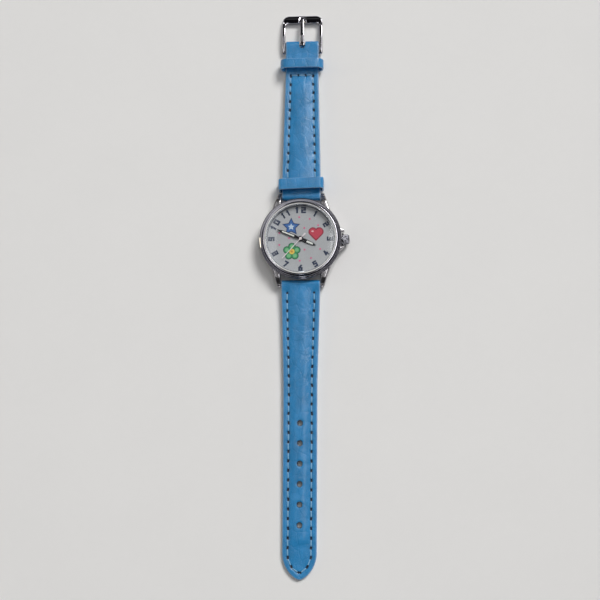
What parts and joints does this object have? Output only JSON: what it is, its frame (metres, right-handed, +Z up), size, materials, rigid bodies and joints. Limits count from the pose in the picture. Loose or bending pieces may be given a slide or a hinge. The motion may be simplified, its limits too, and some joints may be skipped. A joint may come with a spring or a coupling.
{
  "type": "children's quartz wristwatch",
  "caption": "Small round wristwatch in polished chrome with plain hour numbers and a cheerful printed dial, on a padded sky-blue leather strap with light stitching, two keepers and a pin buckle.",
  "frame": {"origin": "centre of the flat underside of the case back", "axes": "+Y to twelve o'clock and the buckle end of the opened strap, +X to three o'clock and the crown, +Z up through the crystal"},
  "size_m": [0.0325, 0.2061, 0.0072],
  "materials": {
    "polished_chrome": "mirror polished plating",
    "back_steel": "brushed",
    "mineral_glass": "clear, bevelled edge",
    "dial_paint": "matt pale grey",
    "ring_silver": "polished cone",
    "ink_dark": "printed",
    "ink_blue": "printed",
    "ink_green": "printed",
    "ink_red": "printed",
    "ink_pink": "printed",
    "hand_black": "gloss black",
    "hand_steel": "fine",
    "lume": "matt filling",
    "brass": "machined",
    "movement_steel": "stamped",
    "copper_wire": "wound enamelled wire",
    "board": "lacquered board",
    "nylon": "moulded",
    "seal": "matt",
    "blue_leather": "glossy embossed",
    "lining_leather": "smooth",
    "padding": "felt",
    "thread": "twisted waxed thread"
  },
  "bodies": {
    "case": {"case_back": "back_steel", "back_gasket": "seal", "case_body": "polished_chrome", "crown_tube": "movement_steel", "bezel": "polished_chrome", "crystal": "mineral_glass", "crystal_gasket": "nylon", "inner_ring": "ring_silver", "dial": "dial_paint", "dial_numerals": "ink_dark", "dial_star": "ink_blue", "dial_flower": "ink_green", "dial_heart": "ink_red", "dial_dots": "ink_pink", "main_plate": "brass", "train_bridge": "movement_steel", "movement_ring": "nylon", "battery": "movement_steel", "battery_clip": "brass", "coil": "copper_wire", "coil_core": "movement_steel", "stator": "movement_steel", "circuit_board": "board", "quartz_can": "movement_steel", "movement_screws": "movement_steel", "lug_bar_tubes": "movement_steel", "lug_bar_pins": "movement_steel", "lug_bar_springs": "movement_steel"},
    "lever": {"setting_lever": "movement_steel"},
    "winder": {"crown": "polished_chrome", "crown_gasket": "seal", "winding_stem": "movement_steel", "clutch_pinion": "movement_steel"},
    "seconds": {"second_hand": "hand_steel", "fourth_wheel": "brass"},
    "third": {"third_wheel": "brass"},
    "minutes": {"minute_hand": "hand_black", "minute_hand_lume": "lume", "cannon_pinion": "movement_steel", "centre_wheel": "brass"},
    "transfer": {"minute_wheel": "brass"},
    "hours": {"hour_hand": "hand_black", "hour_hand_lume": "lume", "hour_wheel": "brass"},
    "fifth": {"fifth_wheel": "brass"},
    "motor": {"rotor": "movement_steel"},
    "upper_strap": {"upper_strap_top": "blue_leather", "upper_strap_filler": "padding", "upper_strap_lining": "lining_leather", "upper_strap_stitching": "thread", "fixed_keeper": "blue_leather"},
    "lower_strap": {"lower_strap_top": "blue_leather", "lower_strap_filler": "padding", "lower_strap_lining": "lining_leather", "lower_strap_stitching": "thread"},
    "keeper": {"free_keeper": "blue_leather"},
    "buckle": {"buckle_frame": "polished_chrome", "buckle_bar_tube": "movement_steel", "buckle_bar_pins": "movement_steel"},
    "buckle_tongue": {"tongue": "polished_chrome"}
  },
  "joints": [
    {"name": "upper_strap_hinge", "type": "hinge", "parent": "case", "child": "upper_strap", "pos_m": [0, 0.0162, 0.00225], "axis": [-1, 0, 0], "range_deg": [-30, 75]},
    {"name": "lower_strap_hinge", "type": "hinge", "parent": "case", "child": "lower_strap", "pos_m": [0, -0.0162, 0.00225], "axis": [1, 0, 0], "range_deg": [-45, 75]},
    {"name": "keeper_slide", "type": "slide", "parent": "upper_strap", "child": "keeper", "axis": [0, 1, 0], "range_m": [-0.0006, 0.041]},
    {"name": "buckle_hinge", "type": "hinge", "parent": "upper_strap", "child": "buckle", "pos_m": [0, 0.0742, 0.00195], "axis": [1, 0, 0], "range_deg": [-100, 55]},
    {"name": "tongue_hinge", "type": "hinge", "parent": "buckle", "child": "buckle_tongue", "pos_m": [0, 0.0742, 0.00195], "axis": [1, 0, 0], "range_deg": [0, 45]},
    {"name": "crown_pull", "type": "slide", "parent": "case", "child": "lever", "axis": [1, 0, 0], "range_m": [0, 0.0008]},
    {"name": "crown_turn", "type": "hinge", "parent": "lever", "child": "winder", "pos_m": [0.0162, 0, 0.003], "axis": [1, 0, 0], "continuous": true},
    {"name": "second_hand_turn", "type": "hinge", "parent": "case", "child": "seconds", "pos_m": [0, 0, 0.0045], "axis": [0, 0, -1], "continuous": true},
    {"name": "third_wheel_turn", "type": "hinge", "parent": "case", "child": "third", "pos_m": [0.00256, -0.00093, 0.0026], "axis": [0, 0, -1], "continuous": true},
    {"name": "minute_hand_turn", "type": "hinge", "parent": "case", "child": "minutes", "pos_m": [0, 0, 0.0045], "axis": [0, 0, -1], "continuous": true},
    {"name": "minute_wheel_turn", "type": "hinge", "parent": "case", "child": "transfer", "pos_m": [0.00096, 0.00166, 0.0038], "axis": [0, 0, -1], "continuous": true},
    {"name": "hour_hand_turn", "type": "hinge", "parent": "case", "child": "hours", "pos_m": [0, 0, 0.0045], "axis": [0, 0, -1], "continuous": true},
    {"name": "fifth_wheel_turn", "type": "hinge", "parent": "case", "child": "fifth", "pos_m": [-0.00236, 0.00136, 0.0022], "axis": [0, 0, -1], "continuous": true},
    {"name": "rotor_turn", "type": "hinge", "parent": "case", "child": "motor", "pos_m": [-0.00251, 0.00315, 0.0025], "axis": [0, 0, -1], "continuous": true}
  ],
  "couplings": [
    {"joint": "third_wheel_turn", "follows": "second_hand_turn", "ratio": -0.13333},
    {"joint": "minute_hand_turn", "follows": "second_hand_turn", "ratio": 0.016667},
    {"joint": "minute_wheel_turn", "follows": "second_hand_turn", "ratio": -0.0055556},
    {"joint": "hour_hand_turn", "follows": "second_hand_turn", "ratio": 0.0013889},
    {"joint": "fifth_wheel_turn", "follows": "second_hand_turn", "ratio": -7.5},
    {"joint": "rotor_turn", "follows": "second_hand_turn", "ratio": 30}
  ]
}
